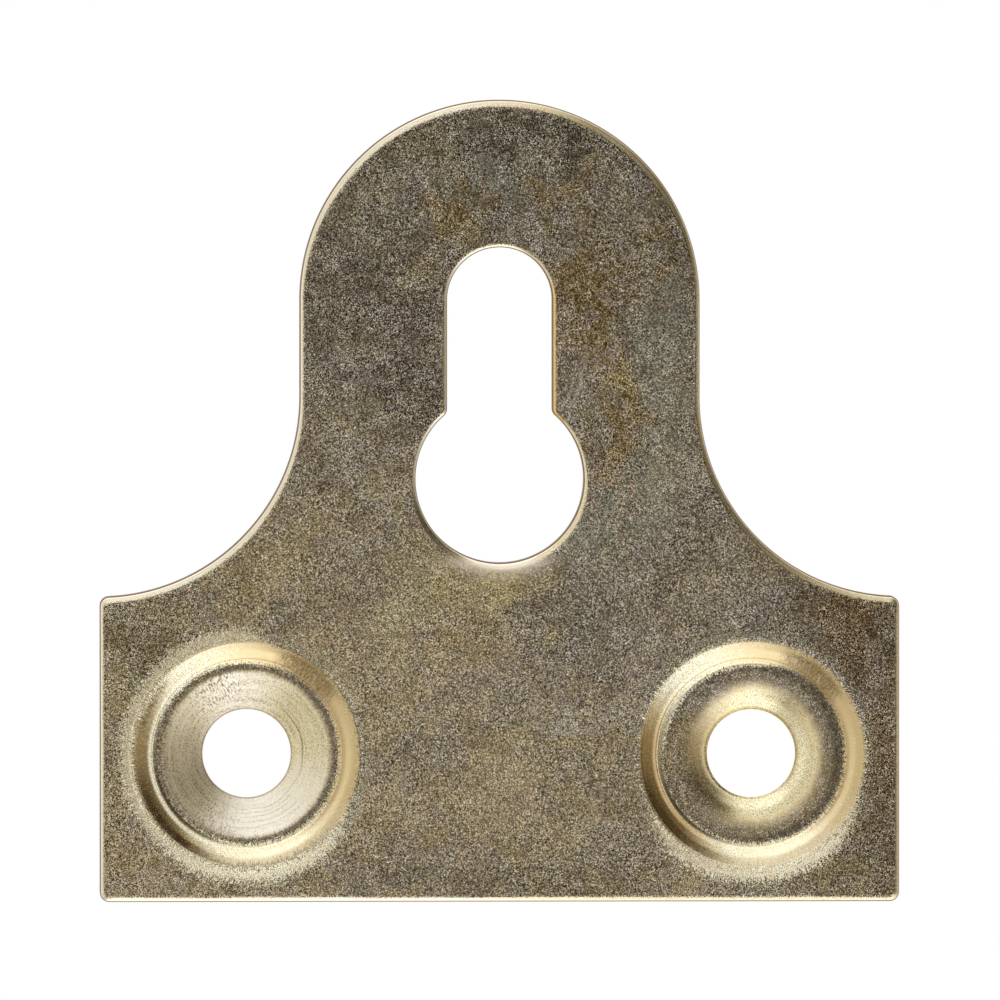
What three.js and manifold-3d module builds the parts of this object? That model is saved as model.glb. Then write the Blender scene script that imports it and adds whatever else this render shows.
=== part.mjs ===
import * as THREE from "three";
import { mergeVertices, toCreasedNormals } from "three/addons/utils/BufferGeometryUtils.js";
import Module from "manifold-3d";

// A slotted mirror plate: one pressing of brassed sheet steel, upright as it hangs on the wall.
// Millimetres, +Z up. The front, where the screw heads sit, faces -Y. The back lies on the plane
// Y = 0, and the origin is on it, midway between the two screw holes.

// Sheet
const sheetThickness = 1.5;

// Outline: a broad foot, and a round-topped tongue that grows out of it in two hollow shoulders
const plateWidth = 38;
const plateHeight = 38.1;
const footHeight = 14.5;
const tongueWidth = 19;
const shoulderRadius = 9.5;
const cornerRadius = 0.45;

// Front edges, drawn down by the blanking punch
const edgeRollWidth = 0.4;
const edgeRollDepth = 0.17;

// Keyhole: its round hole passes the wall screw's head, and its slot then drops over the shank
const headHoleDiameter = 8;
const slotWidth = 5;
const slotTravel = 8.5;

// Two screw holes through the foot
const screwHoleDiameter = 4.2;
const screwHoleSpacing = 24;
const screwHoleAboveFoot = 7;

// The screw heads' seats: the left hole has a cut countersink, and the right one a rounded flare
const countersinkDiameter = 8;
const countersinkRingWidth = 0.41;
const flareRingWidth = 0.51;

// The dish pressed round each seat leaves a flat ring to it, and stands out of the back as a boss
const dishDepth = 0.65;
const dishLipRadius = 1.8;
const dishFootRadius = 0.22;
const bossRootRadius = 0.6;
const bossEdgeRadius = 1.2;

// The most of a dish's sloping wall that the bends at its two ends may take up
const bentWallShare = 0.95;

// Slopes from the plane of the sheet, in degrees
const dishSlope = 45;
const countersinkSlope = 35;
const flareEndSlope = 44;

// How far each cut runs past the metal
const cutOverrun = 1;

// Facets
const roundSteps = 48;
const archSteps = 30;
const shoulderSteps = 15;
const cornerSteps = 4;
const slotEndSteps = 16;
const headHoleSteps = 32;
const edgeRollSteps = 3;
const bendSteps = 3;
const lipSteps = 5;
const flareSteps = 6;
const creaseAngle = THREE.MathUtils.degToRad(20);

const brassedSteel = new THREE.MeshStandardMaterial({
  color: 0x82765f,
  metalness: 0.9,
  roughness: 0.45,
});

// Places that follow from the sizes
const front = -sheetThickness;
const dishFloor = front + dishDepth;
const bossTop = dishDepth;
const footLine = -screwHoleAboveFoot;
const shoulderLine = footLine + footHeight;
const shoulderCentreX = tongueWidth / 2 + shoulderRadius;
const shoulderCentreZ = shoulderLine + shoulderRadius;
const archCentreZ = footLine + plateHeight - tongueWidth / 2;
const headHoleCentreZ = archCentreZ - slotTravel;
const dishAngle = THREE.MathUtils.degToRad(dishSlope);
const dishWallRun = dishDepth / Math.tan(dishAngle);
const dishFloorRadius = countersinkDiameter / 2 + countersinkRingWidth;
const dishMouthRadius = dishFloorRadius + dishWallRun;

const wasm = await Module();
wasm.setup();

// A closed three.js geometry as a solid that can be joined and cut.
function solidOf(geometry) {
  const bare = geometry.clone();
  bare.deleteAttribute("normal");
  bare.deleteAttribute("uv");
  const merged = mergeVertices(bare);
  return new wasm.Manifold(
    new wasm.Mesh({
      numProp: 3,
      vertProperties: merged.attributes.position.array,
      triVerts: new Uint32Array(merged.index.array),
    }),
  );
}

// A solid as a three.js geometry, smooth over its bends and creased at its edges.
function geometryOf(solid) {
  const mesh = solid.getMesh();
  const geometry = new THREE.BufferGeometry();
  geometry.setAttribute("position", new THREE.BufferAttribute(mesh.vertProperties, mesh.numProp));
  geometry.setIndex(new THREE.BufferAttribute(mesh.triVerts, 1));
  return toCreasedNormals(geometry, creaseAngle);
}

// The points of an arc, in radians and anticlockwise where the end lies above the start.
function arcPoints(centreX, centreY, radius, start, end, steps) {
  const clockwise = end < start;
  const arc = new THREE.EllipseCurve(centreX, centreY, radius, radius, start, end, clockwise);
  return arc.getPoints(steps);
}

// The points that round a corner of a profile with an arc of the given radius.
function roundedCorner(before, corner, after, radius, steps) {
  const toBefore = before.clone().sub(corner).normalize();
  const toAfter = after.clone().sub(corner).normalize();
  const halfCorner = toBefore.angleTo(toAfter) / 2;
  const towardsCentre = toBefore.clone().add(toAfter).normalize();
  const centre = corner.clone().addScaledVector(towardsCentre, radius / Math.sin(halfCorner));
  const reach = radius / Math.tan(halfCorner);
  const first = corner.clone().addScaledVector(toBefore, reach).sub(centre);
  const last = corner.clone().addScaledVector(toAfter, reach).sub(centre);
  const turn = Math.atan2(first.cross(last), first.dot(last));
  return arcPoints(centre.x, centre.y, radius, first.angle(), first.angle() + turn, steps);
}

// The radius of a bend at one end of a dish's sloping wall, eased where the wall is too short for
// it and the bend at the other end.
function fittedBend(radius, otherRadius) {
  const wallLength = dishDepth / Math.sin(dishAngle);
  const room = bentWallShare * wallLength / Math.tan(dishAngle / 2);
  return Math.min(radius, room - otherRadius);
}

// The right half of the outline, from the foot's corner up to the top of the arch.
function rightHalfOutline() {
  const side = plateWidth / 2;
  const cornerX = side - cornerRadius;
  const footCorner = arcPoints(
    cornerX, footLine + cornerRadius, cornerRadius, -Math.PI / 2, 0, cornerSteps,
  );
  // The foot's upper corner touches the side line and the hollow of the shoulder, or the level
  // edge that the shoulder runs out into where the foot is wider than both shoulders.
  const betweenCentres = shoulderRadius + cornerRadius;
  const lean = Math.asin(Math.max(0, shoulderCentreX - cornerX) / betweenCentres);
  const upperZ = shoulderCentreZ - betweenCentres * Math.cos(lean);
  const upperCorner = arcPoints(
    cornerX, upperZ, cornerRadius, 0, Math.PI / 2 - lean, cornerSteps,
  );
  // The tongue's sides stand upright, but slope where the arch begins below the shoulders' tops.
  const archDrop = Math.max(0, shoulderCentreZ - archCentreZ);
  const sideSlope = 2 * Math.atan2(archDrop, shoulderCentreX);
  const shoulder = arcPoints(
    shoulderCentreX, shoulderCentreZ, shoulderRadius,
    -Math.PI / 2 - lean, sideSlope - Math.PI, shoulderSteps,
  );
  const arch = arcPoints(0, archCentreZ, tongueWidth / 2, sideSlope, Math.PI / 2, archSteps / 2);
  return [...footCorner, ...upperCorner, ...shoulder.slice(1), ...arch];
}

function outlineShape() {
  const right = rightHalfOutline();
  const left = right.slice(0, -1).reverse().map((point) => new THREE.Vector2(-point.x, point.y));
  return new THREE.Shape([...right, ...left]);
}

// The keyhole, with its two corners between slot and round hole rounded like the foot's.
function keyholePath() {
  const slotReach = slotWidth / 2;
  const holeRadius = headHoleDiameter / 2;
  const bendX = slotReach + cornerRadius;
  const bendRise = Math.sqrt((holeRadius + cornerRadius) ** 2 - bendX ** 2);
  const bendZ = headHoleCentreZ + bendRise;
  const turn = Math.atan2(bendRise, bendX);
  const slotEnd = arcPoints(0, archCentreZ, slotReach, 0, Math.PI, slotEndSteps);
  const leftBend = arcPoints(-bendX, bendZ, cornerRadius, 0, -turn, cornerSteps);
  const headHole = arcPoints(
    0, headHoleCentreZ, holeRadius, Math.PI - turn, 2 * Math.PI + turn, headHoleSteps,
  );
  const rightBend = arcPoints(bendX, bendZ, cornerRadius, Math.PI + turn, Math.PI, cornerSteps);
  return new THREE.Path([...slotEnd, ...leftBend, ...headHole.slice(1), ...rightBend.slice(1)]);
}

// The blank, punched from flat sheet: square at the back and rolled over at its front edges.
function makeBlank() {
  const shape = outlineShape();
  shape.holes.push(keyholePath());
  const rollWidth = Math.min(edgeRollWidth, cornerRadius);
  const geometry = new THREE.ExtrudeGeometry(shape, {
    depth: sheetThickness - edgeRollDepth + cutOverrun,
    bevelThickness: edgeRollDepth,
    bevelSize: rollWidth,
    bevelOffset: -rollWidth,
    bevelSegments: edgeRollSteps,
  });
  geometry.translate(0, 0, -cutOverrun);
  geometry.rotateX(Math.PI / 2);
  const waste = new THREE.BoxGeometry(
    plateWidth + 2 * cutOverrun,
    2 * (cutOverrun + edgeRollDepth),
    plateHeight + 2 * cutOverrun,
  );
  waste.translate(0, cutOverrun + edgeRollDepth, footLine + plateHeight / 2);
  return solidOf(geometry).subtract(solidOf(waste));
}

// A solid of revolution about the axis of a screw hole, from a profile of radii and depths.
function turned(profile, holeX) {
  const geometry = new THREE.LatheGeometry(profile, roundSteps);
  geometry.translate(holeX, 0, 0);
  return solidOf(geometry);
}

// The dish keeps the sheet's thickness, so its outer wall runs parallel to its inner one.
function makeBoss(holeX) {
  const rootRadius = dishMouthRadius + sheetThickness * Math.tan(dishAngle / 2);
  const inside = front / 2;
  const outer = new THREE.Vector2(2 * rootRadius, 0);
  const root = new THREE.Vector2(rootRadius, 0);
  const edge = new THREE.Vector2(rootRadius - dishWallRun, bossTop);
  const centre = new THREE.Vector2(0, bossTop);
  const edgeRadius = fittedBend(bossEdgeRadius, bossRootRadius);
  const rootBend = roundedCorner(outer, root, edge, bossRootRadius, bendSteps);
  const edgeBend = roundedCorner(root, edge, centre, edgeRadius, bendSteps);
  const rim = new THREE.Vector2(rootBend[0].x, inside);
  return turned([new THREE.Vector2(0, inside), rim, ...rootBend, ...edgeBend, centre], holeX);
}

// What the pressing tools take out of the front of a screw hole: the dish, and then the seat of
// the screw head, whose own profile runs from its mouth on the dish's floor down to the hole.
function makePunch(holeX, seat) {
  const above = front - cutOverrun;
  const below = bossTop + cutOverrun;
  const outer = new THREE.Vector2(2 * dishMouthRadius, front);
  const mouth = new THREE.Vector2(dishMouthRadius, front);
  const foot = new THREE.Vector2(dishFloorRadius, dishFloor);
  const lipRadius = fittedBend(dishLipRadius, dishFootRadius);
  const lip = roundedCorner(outer, mouth, foot, lipRadius, lipSteps);
  const footBend = roundedCorner(mouth, foot, seat[0], dishFootRadius, bendSteps);
  const profile = [
    new THREE.Vector2(0, above),
    new THREE.Vector2(lip[0].x, above),
    ...lip,
    ...footBend,
    ...seat,
    new THREE.Vector2(screwHoleDiameter / 2, below),
    new THREE.Vector2(0, below),
  ];
  return turned(profile, holeX);
}

// The straight cone of the left seat.
function countersinkSeat() {
  const run = (countersinkDiameter - screwHoleDiameter) / 2;
  const depth = run * Math.tan(THREE.MathUtils.degToRad(countersinkSlope));
  return [
    new THREE.Vector2(countersinkDiameter / 2, dishFloor),
    new THREE.Vector2(screwHoleDiameter / 2, dishFloor + depth),
  ];
}

// The rounded throat of the right seat, which starts level and steepens down to the hole.
function flareSeat() {
  const endAngle = THREE.MathUtils.degToRad(flareEndSlope);
  const mouthRadius = dishFloorRadius - flareRingWidth;
  const radius = (mouthRadius - screwHoleDiameter / 2) / Math.sin(endAngle);
  const start = -Math.PI / 2;
  return arcPoints(mouthRadius, dishFloor + radius, radius, start, start - endAngle, flareSteps);
}

const leftHoleX = -screwHoleSpacing / 2;
const rightHoleX = screwHoleSpacing / 2;
const pressing = makeBlank()
  .add(makeBoss(leftHoleX))
  .add(makeBoss(rightHoleX))
  .subtract(makePunch(leftHoleX, countersinkSeat()))
  .subtract(makePunch(rightHoleX, flareSeat()));

const plate = new THREE.Mesh(geometryOf(pressing), brassedSteel);
plate.name = "mirror_plate";

const mirrorPlate = new THREE.Group();
mirrorPlate.add(plate);

export default mirrorPlate;
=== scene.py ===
import math

import bmesh
import bpy
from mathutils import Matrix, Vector


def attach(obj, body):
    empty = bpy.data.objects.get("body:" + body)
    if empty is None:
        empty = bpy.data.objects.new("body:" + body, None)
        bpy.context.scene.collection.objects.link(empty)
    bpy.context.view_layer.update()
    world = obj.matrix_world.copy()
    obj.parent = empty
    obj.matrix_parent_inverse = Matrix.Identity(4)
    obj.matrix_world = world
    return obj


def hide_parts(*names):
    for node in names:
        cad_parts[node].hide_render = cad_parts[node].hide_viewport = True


# A slotted mirror plate, face on: one pressing of brassed sheet steel with a rolled front edge,
# a keyhole slot and two dished screw holes. Metres, in the frame of the CAD model: the front
# faces -Y, +Z is up, and the origin is on the back, midway between the two screw holes.
# Sizes are given in millimetres times MM.

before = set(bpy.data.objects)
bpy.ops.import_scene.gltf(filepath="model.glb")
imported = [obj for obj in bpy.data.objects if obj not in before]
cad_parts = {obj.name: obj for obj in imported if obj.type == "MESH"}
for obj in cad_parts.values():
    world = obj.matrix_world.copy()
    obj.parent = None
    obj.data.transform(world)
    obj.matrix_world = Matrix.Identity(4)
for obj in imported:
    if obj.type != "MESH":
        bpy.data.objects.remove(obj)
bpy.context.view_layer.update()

MM = 0.001
FULL_TURN = 2 * math.pi

# Sheet and outline
SHEET = 1.5 * MM
FRONT = -SHEET
HALF_WIDTH = 19 * MM
FOOT_LINE = -7 * MM
HALF_TONGUE = 9.5 * MM
SHOULDER_RADIUS = 9.5 * MM
SHOULDER_CENTRE = (HALF_TONGUE + SHOULDER_RADIUS, 17 * MM)
ARCH_CENTRE = (0, 21.6 * MM)
CORNER = 0.45 * MM

# Front edges rolled over by the punch, and the narrow flat strip that borders the roll
ROLL_WIDTH = 0.4 * MM
ROLL_DEPTH = 0.17 * MM
ROLL_LEAN = 0.55
NARROW_ROLL = 0.52
ROLL_UNEVENNESS = 0.3
ROLL_PATCHES = 0.35 / MM
BORDER = 0.04 * MM
SHEARED_STRIP = 0.045 * MM
CROWN = (ARCH_CENTRE[1] + 1.5 * MM, ARCH_CENTRE[1] + 8 * MM)
CROWN_ROLL = 1.26
BOTTOM = (-6.3 * MM, -6.9 * MM)
BOTTOM_ROLL = 1.4

# Keyhole
HEAD_HOLE = (0, 13.1 * MM)
HEAD_HOLE_RADIUS = 4 * MM
HALF_SLOT = 2.5 * MM

# Dished screw holes
HOLE_X = 12 * MM
HOLE_RADIUS = 2.1 * MM
SEAT_RADIUS = 4 * MM
DISH_DEPTH = 0.65 * MM
DISH_FLOOR = FRONT + DISH_DEPTH
DISH_FLOOR_EDGE = 4.41 * MM
DISH_SLOPE = math.radians(45)
DISH_FOOT_RADIUS = 0.45 * MM
DISH_LIP_RADIUS = 1.784 * MM
MOUTH_SLOPE = 15
BRIM_RADIUS = 6.3 * MM
BRIM_BEND = 6.97 * MM
BRIM_SLOPE = 8
CREASE = 0.01 * MM
CONE_SLOPE = math.radians(35)
FLARE_MOUTH = 3.9 * MM
FLARE_END_SLOPE = math.radians(44)
HOLE_EDGE_RADIUS = 0.1 * MM
RING_PITCH = 0.16 * MM
RING_WANDER = 0.35
FLUTES = 14
MARKS_START = 0.2 * MM
MARKS_END = 0.12 * MM
MARKS_DEEPEST = 0.55 * DISH_DEPTH
CONE_MARKS = (0.018 * MM, 0.010 * MM, 3.0)
FLARE_MARKS = (0.004 * MM, 0.004 * MM, 8.0)
BOSS_EDGE_RADIUS = DISH_FLOOR_EDGE + SHEET * math.tan(DISH_SLOPE / 2)
BOSS_ROOT_RADIUS = BOSS_EDGE_RADIUS + DISH_DEPTH / math.tan(DISH_SLOPE)
BOSS_ROOT_BEND = 0.6 * MM
BOSS_EDGE_BEND = 1.2 * MM

# Stains on the flats: middle, half width and half height in millimetres, turn in degrees, the
# tint as seen on a screen, and how much of it shows
STAINS = (
    (0, 7.6, 2.6, 1, 0, (174, 159, 116), 0.8),
    (-4.5, 7.8, 1.7, 2.4, 20, (162, 151, 121), 0.8),
    (-9.5, 9.2, 1.3, 1.8, 0, (154, 140, 108), 0.7),
    (-8.4, 12.2, 1.5, 1.1, 40, (130, 116, 86), 0.7),
    (3.8, 10.3, 1.8, 1, -30, (158, 154, 138), 0.9),
    (4.2, 1.7, 0.9, 0.5, -30, (156, 152, 140), 0.8),
    (7.4, 12.8, 1.5, 1.7, 30, (158, 153, 136), 0.95),
    (7.8, 18.8, 1.1, 3.8, 10, (154, 149, 132), 0.9),
    (0.2, 27, 2.4, 1.1, 0, (156, 153, 138), 0.95),
    (1.9, 29.6, 5, 1.1, 0, (106, 98, 84), 0.95),
    (-4.3, 19.5, 1.8, 3.6, 0, (108, 97, 86), 0.95),
    (-7, 23, 1.9, 3, 10, (120, 109, 96), 0.8),
    (4.3, 22.2, 1.5, 1.6, 20, (132, 112, 74), 0.9),
    (4.3, 19.6, 1.3, 1.1, -20, (136, 114, 74), 0.8),
    (5.7, 16.3, 0.9, 2.2, -8, (150, 126, 76), 0.8),
    (5.2, 12.9, 0.7, 1, 10, (156, 132, 88), 0.6),
    (7.5, 24, 0.9, 1, 30, (132, 114, 78), 0.8),
    (2.6, 26.6, 1.4, 1.2, -35, (134, 114, 78), 0.9),
    (-2.4, 25.6, 1.1, 1.5, 0, (140, 119, 78), 0.85),
    (0, -1.4, 2.4, 1, 40, (166, 151, 122), 0.7),
    (4.8, 6.4, 3.2, 2.2, -20, (126, 116, 105), 0.8),
    (5, 2.1, 1.5, 0.8, 0, (150, 138, 124), 0.7),
    (3, 3.5, 0.9, 3.2, 10, (138, 130, 116), 0.6),
    (9.2, 9.4, 2.2, 1.3, -35, (122, 110, 95), 0.75),
    (5.2, -5, 2.2, 1.4, 0, (126, 115, 98), 0.7),
    (17.1, 6.6, 2.6, 1.6, -20, (126, 104, 72), 0.8),
    (18.2, 0, 1.4, 5, 0, (122, 102, 70), 0.75),
    (-17.6, 5.2, 1.8, 2, 0, (122, 110, 80), 0.8),
    (-18.2, -2.2, 1.1, 3.8, 0, (142, 125, 88), 0.6),
)

# Rubs and scratches on the flats: place across and up, turn in degrees, half length and half
# width in millimetres, and strength
MARKS = (
    (3.7, 17.4, 20, 1.7, 0.09, 0.45),
    (3.3, 17.2, 24, 1, 0.05, 0.35),
    (-3, 8.6, -50, 0.5, 0.05, 0.6),
    (-3.3, 7.9, 35, 0.45, 0.04, 0.5),
    (0.2, 6.6, -80, 0.7, 0.04, 0.4),
    (9.8, 9, 40, 0.5, 0.04, 0.5),
    (5.9, 4.2, -35, 0.6, 0.04, 0.45),
    (3.2, -0.8, 60, 0.45, 0.04, 0.45),
    (-7.9, 3.9, -60, 0.6, 0.03, 0.4),
    (-5.8, 24.2, 50, 0.5, 0.04, 0.4),
    (6.6, 27, -45, 0.7, 0.03, 0.4),
)

# Grooves that the countersink cutter left on the left seat: radius in millimetres, the middle of
# the groove in degrees clockwise from the top, and the cosine at which it fades out
GROOVES = (
    (2.67, 112, 0.2), (2.84, 160, 0.8), (3.03, 158, 0.88), (3.27, 156, 0.85), (3.5, 165, 0.8),
)

# Facets
ROLL_STEPS = 8
WALL_STEPS = 4
TURN_STEPS = 180
SAME_POINT = 0.001 * MM
SHARP_ANGLE = math.radians(28)

# Camera, at the angle of the photograph
AZIMUTH = math.radians(-1.6)
ELEVATION = math.radians(1.6)
DISTANCE = 1
SENSOR = 36
FRAME_WIDTH = 47.5 * MM
AIM = Vector((0.01 * MM, FRONT, 12.1 * MM))
CLIP = (0.05, 20)

# Light tent, in rings: degrees from the camera's line, then the brightness by degrees clockwise
# from the top
TENT_RINGS = (
    (14, ((0, 1.12), (15, 1.05), (30, 0.9), (45, 0.75), (60, 0.6), (75, 0.5), (90, 0.5),
     (120, 0.55), (150, 0.6), (180, 0.6), (210, 0.48), (240, 0.45), (270, 0.45), (300, 0.6),
     (318, 1), (335, 1.12), (360, 1.12))),
    (28, ((0, 0.95), (15, 0.8), (28, 0.4), (40, 0.14), (60, 0.07), (75, 0.12), (90, 0.35),
     (105, 0.46), (120, 0.6), (135, 1.19), (150, 1.35), (180, 1.2), (195, 0.83), (210, 0.5),
     (225, 0.7), (240, 0.75), (270, 0.8), (290, 0.8), (305, 0.82), (320, 0.85), (340, 0.92),
     (360, 0.95))),
    (44, ((0, 0.89), (15, 0.8), (30, 0.2), (45, 0.08), (60, 0.06), (75, 0.11), (90, 0.32),
     (105, 0.4), (120, 0.69), (135, 1.17), (150, 1.3), (165, 1.28), (180, 1.22), (195, 0.88),
     (210, 0.45), (225, 0.6), (240, 0.75), (270, 0.75), (300, 0.74), (315, 0.76), (330, 0.76),
     (345, 0.87), (360, 0.89))),
    (67, ((0, 1.2), (15, 1.1), (30, 0.66), (45, 0.25), (60, 0.16), (75, 0.2), (90, 0.32),
     (105, 0.42), (120, 0.66), (135, 1.08), (150, 1.22), (180, 1.35), (195, 1.4), (210, 0.75),
     (225, 0.72), (240, 0.77), (270, 0.92), (300, 0.95), (315, 0.98), (330, 1.28), (345, 1.34),
     (360, 1.2))),
    (86, ((0, 1.2), (15, 1.15), (30, 1.02), (45, 0.84), (60, 0.92), (90, 0.95), (105, 0.95),
     (120, 1.08), (135, 1.32), (150, 1.38), (180, 1.38), (195, 1.3), (210, 0.8), (225, 0.65),
     (240, 0.65), (270, 0.68), (300, 0.62), (315, 0.78), (330, 1.08), (345, 1.18), (360, 1.2))),
)
TENT_RADIUS = 1.5
TENT_TAKEOVER = (0.15, 0.25)
FLOOR_RADIUS = 0.42
FLOOR_FADES = (0.3, 0.42)
FLOOR_Z = -40 * MM
FLOOR_PAINT = (0.93, 0.93, 0.92, 1)
SOFT_LIGHT = 0.9
LAMP_SIZE = 0.6
LAMP_POWER = 6
LAMP_PLACE = (0, -0.15, 0.9)
LAMP_TILT = math.radians(-9)


# Nodes

class NodeMaker:
    """Adds nodes to a tree, with each input given as a value or as another node's output."""

    def __init__(self, tree):
        self.tree = tree

    def feed(self, socket, value):
        if isinstance(value, Value):
            self.tree.links.new(value.socket, socket)
        else:
            socket.default_value = value

    def add(self, kind, inputs=None, **settings):
        node = self.tree.nodes.new(kind)
        for name, value in settings.items():
            setattr(node, name, value)
        for key, value in (inputs or {}).items():
            self.feed(node.inputs[key], value)
        return node

    def out(self, kind, inputs=None, output=0, **settings):
        """One output of a new node."""
        return Value(self, self.add(kind, inputs, **settings).outputs[output])

    def named(self, kind):
        """All the outputs of a new node, by name."""
        return {socket.name: Value(self, socket) for socket in self.add(kind).outputs}

    def mark(self, name):
        """A value stored on the mesh."""
        return self.out("ShaderNodeAttribute", output="Fac", attribute_name=name)

    def math(self, operation, *values):
        return self.out("ShaderNodeMath", dict(enumerate(values)), operation=operation)

    def vector(self, operation, *values):
        return self.out("ShaderNodeVectorMath", dict(enumerate(values)), operation=operation)

    def scaled(self, vector, factor):
        return self.out("ShaderNodeVectorMath", {0: vector, 3: factor}, operation="SCALE")

    def length(self, vector):
        return self.out("ShaderNodeVectorMath", {0: vector}, "Value", operation="LENGTH")

    def unit(self, vector):
        return self.vector("NORMALIZE", vector)

    def parts(self, vector):
        node = self.add("ShaderNodeSeparateXYZ", {0: vector})
        return [Value(self, part) for part in node.outputs]

    def joined(self, x, y, z):
        return self.out("ShaderNodeCombineXYZ", {0: x, 1: y, 2: z})

    def noise(self, place, scale, detail=2, roughness=0.5, distortion=0, output=0):
        inputs = {
            "Vector": place, "Scale": scale, "Detail": detail,
            "Roughness": roughness, "Distortion": distortion,
        }
        return self.out("ShaderNodeTexNoise", inputs, output)

    def shaken(self, place, colours, reach):
        """The place, moved by a noise's colours."""
        off = self.vector("SUBTRACT", colours, MID_GREY)
        return self.vector("ADD", place, self.scaled(off, reach))

    def framed(self, place, middle, sizes, turn):
        """The place as a turned patch sees it, one in size, from its middle."""
        inputs = {
            "Vector": place, "Location": middle, "Rotation": (0, math.radians(turn), 0),
            "Scale": sizes,
        }
        return self.out("ShaderNodeMapping", inputs, vector_type="TEXTURE")

    def mix(self, factor, first, second):
        return self.out("ShaderNodeMix", {0: factor, 2: first, 3: second})

    def blend(self, factor, first, second, kind="MIX"):
        inputs = {"Factor": factor, 6: first, 7: second}
        return self.out("ShaderNodeMix", inputs, 2, data_type="RGBA", blend_type=kind)

    def ramp(self, factor, stops):
        node = self.add("ShaderNodeValToRGB", {0: factor})
        elements = node.color_ramp.elements
        while len(elements) < len(stops):
            elements.new(0.5)
        for element, (position, shade) in zip(elements, stops):
            element.position = position
            element.color = shade if len(shade) == 4 else (*shade, 1)
        return Value(self, node.outputs[0])


class Value:
    """A node's output that can be reckoned with, each sign adding a node."""

    def __init__(self, make, socket):
        self.make = make
        self.socket = socket

    def __add__(self, other):
        return self.make.math("ADD", self, other)

    def __radd__(self, other):
        return self.make.math("ADD", other, self)

    def __sub__(self, other):
        return self.make.math("SUBTRACT", self, other)

    def __rsub__(self, other):
        return self.make.math("SUBTRACT", other, self)

    def __mul__(self, other):
        return self.make.math("MULTIPLY", self, other)

    def __truediv__(self, other):
        return self.make.math("DIVIDE", self, other)

    def __abs__(self):
        return self.make.math("ABSOLUTE", self)

    def most(self, other):
        return self.make.math("MAXIMUM", self, other)

    def below(self, limit):
        return self.make.math("LESS_THAN", self, limit)

    def rise(self, low, high, start=0, end=1):
        """Goes smoothly from start to end between low and high."""
        inputs = {0: self, 1: low, 2: high, 3: start, 4: end}
        return self.make.out("ShaderNodeMapRange", inputs, interpolation_type="SMOOTHSTEP")

    def band(self, low, high, soft):
        """One between low and high, with a soft edge on either side."""
        entry = self.rise(low - soft, low + soft)
        return entry * self.rise(high - soft, high + soft, 1, 0)


MID_GREY = (0.5, 0.5, 0.5)


def linear(red, green, blue):
    """A colour as seen on a screen, 0 to 255, as the linear colour that a shader takes."""
    def one(value):
        share = value / 255
        return share / 12.92 if share <= 0.04045 else ((share + 0.055) / 1.055) ** 2.4
    return (one(red), one(green), one(blue), 1)


# Shapes: wires that the geometry trees are fed with

def arc(centre, radius, start, end, steps):
    """Points of an arc in the plane of the plate, with its angles in degrees."""
    points = []
    for step in range(steps + 1):
        angle = math.radians(start + (end - start) * step / steps)
        points.append((centre[0] + radius * math.cos(angle), centre[1] + radius * math.sin(angle)))
    return points


def run(start, end, steps):
    """Points along a straight run, without its two ends."""
    return [
        tuple(a + (b - a) * step / steps for a, b in zip(start, end))
        for step in range(1, steps)
    ]


def outline(inset):
    """The plate's outline, drawn in from the cut edge by the inset."""
    corner_x = HALF_WIDTH - CORNER
    between = SHOULDER_RADIUS + CORNER
    lean = math.asin((SHOULDER_CENTRE[0] - corner_x) / between)
    upper_z = SHOULDER_CENTRE[1] - between * math.cos(lean)
    tilt = math.degrees(lean)
    foot = arc((corner_x, FOOT_LINE + CORNER), CORNER - inset, -90, 0, 8)
    upper = arc((corner_x, upper_z), CORNER - inset, 0, 90 - tilt, 8)
    shoulder = arc(SHOULDER_CENTRE, SHOULDER_RADIUS + inset, -90 - tilt, -180, 60)
    arch = arc(ARCH_CENTRE, HALF_TONGUE - inset, 0, 90, 60)
    right = [
        *run((0, FOOT_LINE + inset), foot[0], 45), *foot, *run(foot[-1], upper[0], 30), *upper,
        *shoulder[1:], *run(shoulder[-1], arch[0], 12), *arch,
    ]
    left = [(-x, z) for x, z in reversed(right[:-1])]
    return [(0, FOOT_LINE + inset), *right, *left]


def keyhole(inset):
    """The keyhole's edge, drawn back into the metal by the inset, with a rounded corner on each
    side where the slot meets the round hole."""
    reach = HALF_SLOT + inset
    radius = HEAD_HOLE_RADIUS + inset
    bend_x = HALF_SLOT + CORNER
    bend_rise = math.sqrt((HEAD_HOLE_RADIUS + CORNER) ** 2 - bend_x ** 2)
    bend_z = HEAD_HOLE[1] + bend_rise
    turn = math.degrees(math.atan2(bend_rise, bend_x))
    slot_end = arc(ARCH_CENTRE, reach, 0, 180, 56)
    left_bend = arc((-bend_x, bend_z), CORNER - inset, 0, -turn, 8)
    head = arc(HEAD_HOLE, radius, 180 - turn, 360 + turn, 120)
    right_bend = arc((bend_x, bend_z), CORNER - inset, 180 + turn, 180, 8)
    return [
        *slot_end, *run(slot_end[-1], left_bend[0], 20), *left_bend, *head[1:-1], *right_bend,
        *run(right_bend[-1], slot_end[0], 20),
    ]


def circle(radius, centre_x):
    """A ring of points, one to each step of a dished hole."""
    points = []
    for step in range(TURN_STEPS):
        angle = FULL_TURN * step / TURN_STEPS
        points.append((centre_x + radius * math.cos(angle), radius * math.sin(angle)))
    return points


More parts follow.
